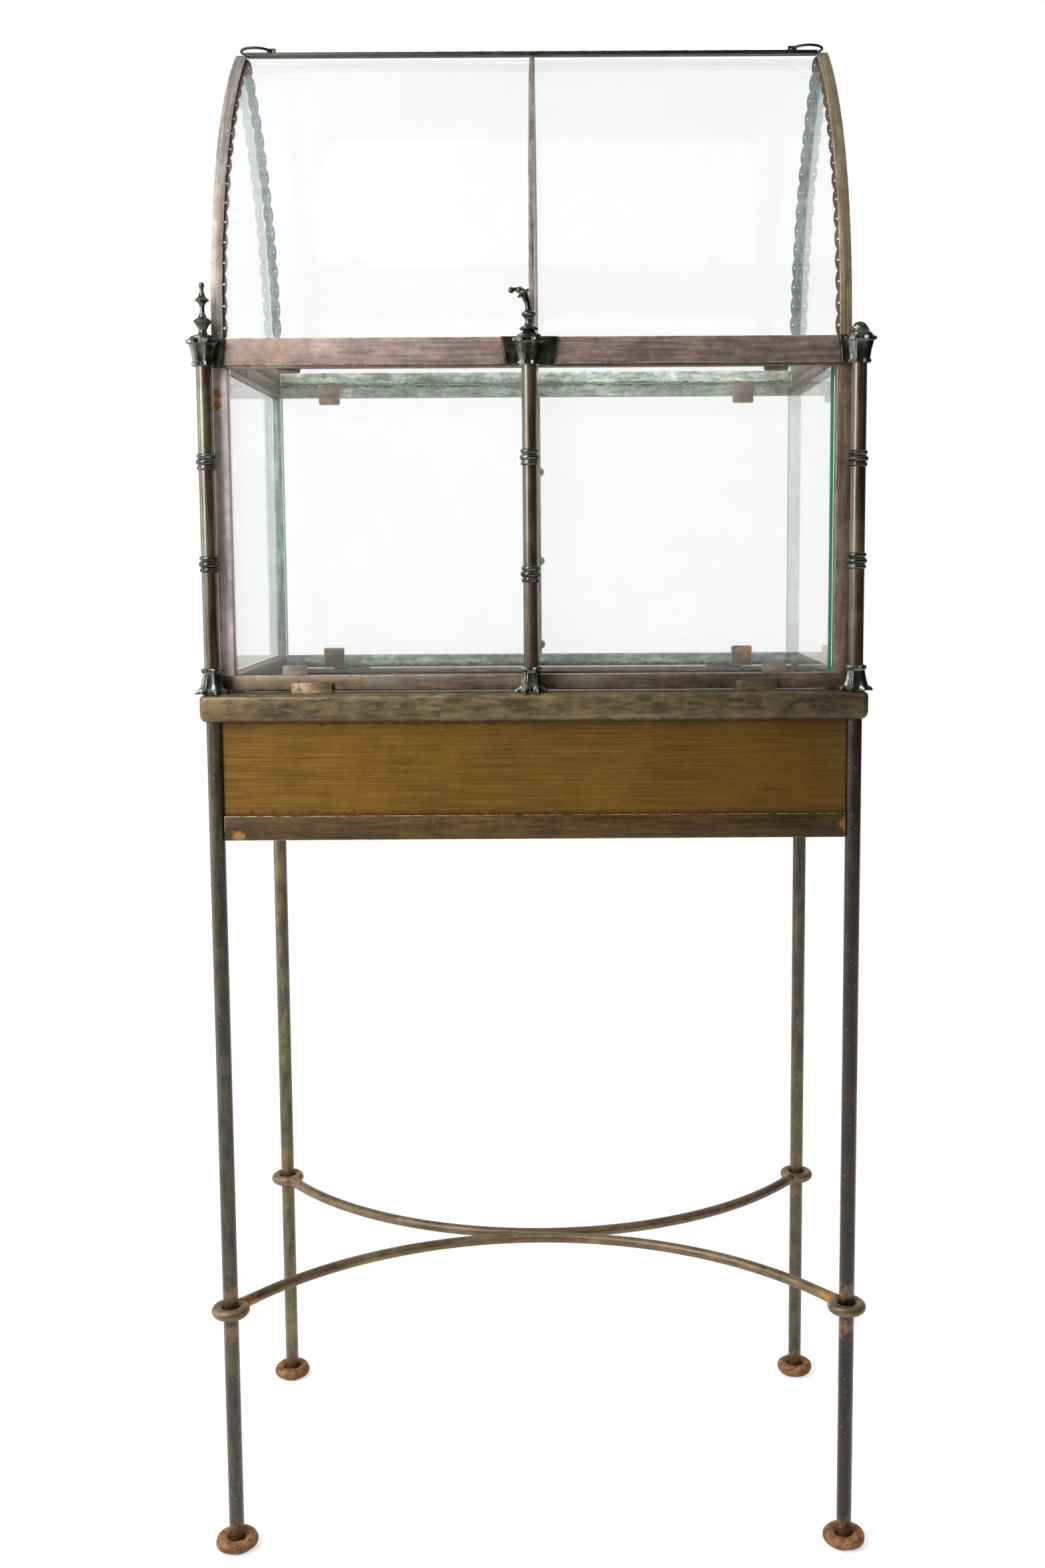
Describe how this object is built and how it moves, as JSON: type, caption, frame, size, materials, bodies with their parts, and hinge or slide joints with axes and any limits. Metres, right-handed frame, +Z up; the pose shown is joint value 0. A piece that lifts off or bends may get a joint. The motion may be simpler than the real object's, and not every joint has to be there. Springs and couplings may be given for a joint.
{
  "type": "wardian case",
  "caption": "Glazed plant case with a pointed barrel glass roof on a tall iron stand with ring feet and bowed stretchers; the roof, the case and a liner tray lift off.",
  "frame": {"origin": "on the floor, under the middle of the stand, which is the middle of the bounding box's base", "axes": "+X to the right as seen from the front with the colonnettes, +Y to the back, +Z up"},
  "size_m": [0.613, 0.36, 1.411],
  "materials": {
    "leg_iron": "dark grey wrought bar, waxed, speckled with rust",
    "foot_ring_iron": "rusted forged bar",
    "stretcher_iron": "brown rusted wrought bar",
    "top_rail_iron": "worn grey brown paint with bright edges",
    "panel_sheet": "brushed bronze brown sheet",
    "lower_rail_iron": "worn dark brown paint",
    "tray_zinc": "dull zinc sheet",
    "case_bar_iron": "worn grey brown paint",
    "cover_rail_copper": "mottled copper brown",
    "shaft_bronze": "dark copper brown, rubbed bright",
    "black_casting": "blackened casting, glossy on the edges",
    "arch_bar_iron": "worn grey brown paint",
    "ridge_iron": "dark iron",
    "window_glass": "clear, faintly green, hazy"
  },
  "bodies": {
    "stand": {"leg_front_left": "leg_iron", "leg_front_right": "leg_iron", "leg_rear_left": "leg_iron", "leg_rear_right": "leg_iron", "foot_ring_front_left": "foot_ring_iron", "foot_ring_front_right": "foot_ring_iron", "foot_ring_rear_left": "foot_ring_iron", "foot_ring_rear_right": "foot_ring_iron", "stretcher_front": "stretcher_iron", "stretcher_rear": "stretcher_iron", "stand_top_frame": "top_rail_iron", "apron_bottom_frame": "lower_rail_iron", "apron_panel_front": "panel_sheet", "apron_panel_rear": "panel_sheet", "apron_panel_left": "panel_sheet", "apron_panel_right": "panel_sheet"},
    "tray": {"liner_tray": "tray_zinc"},
    "glazed_case": {"case_base_frame": "case_bar_iron", "case_top_frame": "case_bar_iron", "corner_upright_front_left": "case_bar_iron", "corner_upright_front_right": "case_bar_iron", "corner_upright_rear_left": "case_bar_iron", "corner_upright_rear_right": "case_bar_iron", "centre_upright_front": "case_bar_iron", "centre_upright_rear": "case_bar_iron", "front_cover_rail": "cover_rail_copper", "pane_end_left": "window_glass", "pane_end_right": "window_glass", "pane_front_left": "window_glass", "pane_front_right": "window_glass", "pane_rear_left": "window_glass", "pane_rear_right": "window_glass", "colonnette_base_left": "black_casting", "colonnette_base_centre": "black_casting", "colonnette_base_right": "black_casting", "colonnette_shaft_left": "shaft_bronze", "colonnette_shaft_centre": "shaft_bronze", "colonnette_shaft_right": "shaft_bronze", "capital_left": "black_casting", "capital_centre": "black_casting", "capital_right": "black_casting", "finial_left": "black_casting", "finial_centre": "black_casting", "finial_nut_right": "black_casting"},
    "roof": {"roof_base_frame": "case_bar_iron", "end_arch_left": "arch_bar_iron", "end_arch_right": "arch_bar_iron", "scalloped_trim_left": "arch_bar_iron", "scalloped_trim_right": "arch_bar_iron", "roof_bar_front": "arch_bar_iron", "roof_bar_rear": "arch_bar_iron", "ridge_bar": "ridge_iron", "roof_pane_front_left": "window_glass", "roof_pane_front_right": "window_glass", "roof_pane_rear_left": "window_glass", "roof_pane_rear_right": "window_glass", "gable_pane_left": "window_glass", "gable_pane_right": "window_glass"},
    "left_ring": {"ring_handle_left": "ridge_iron"},
    "right_ring": {"ring_handle_right": "ridge_iron"}
  },
  "joints": [
    {"name": "tray_lift", "type": "slide", "parent": "stand", "child": "tray", "axis": [0, 0, 1], "range_m": [0, 0.12]},
    {"name": "case_lift", "type": "slide", "parent": "stand", "child": "glazed_case", "axis": [0, 0, 1], "range_m": [0, 0.12]},
    {"name": "roof_lift", "type": "slide", "parent": "glazed_case", "child": "roof", "axis": [0, 0, 1], "range_m": [0, 0.1]},
    {"name": "left_ring_swing", "type": "hinge", "parent": "roof", "child": "left_ring", "pos_m": [-0.2484, 0, 1.4082], "axis": [0, 1, 0], "range_deg": [0, 170]},
    {"name": "right_ring_swing", "type": "hinge", "parent": "roof", "child": "right_ring", "pos_m": [0.2484, 0, 1.4082], "axis": [0, -1, 0], "range_deg": [0, 170]}
  ]
}
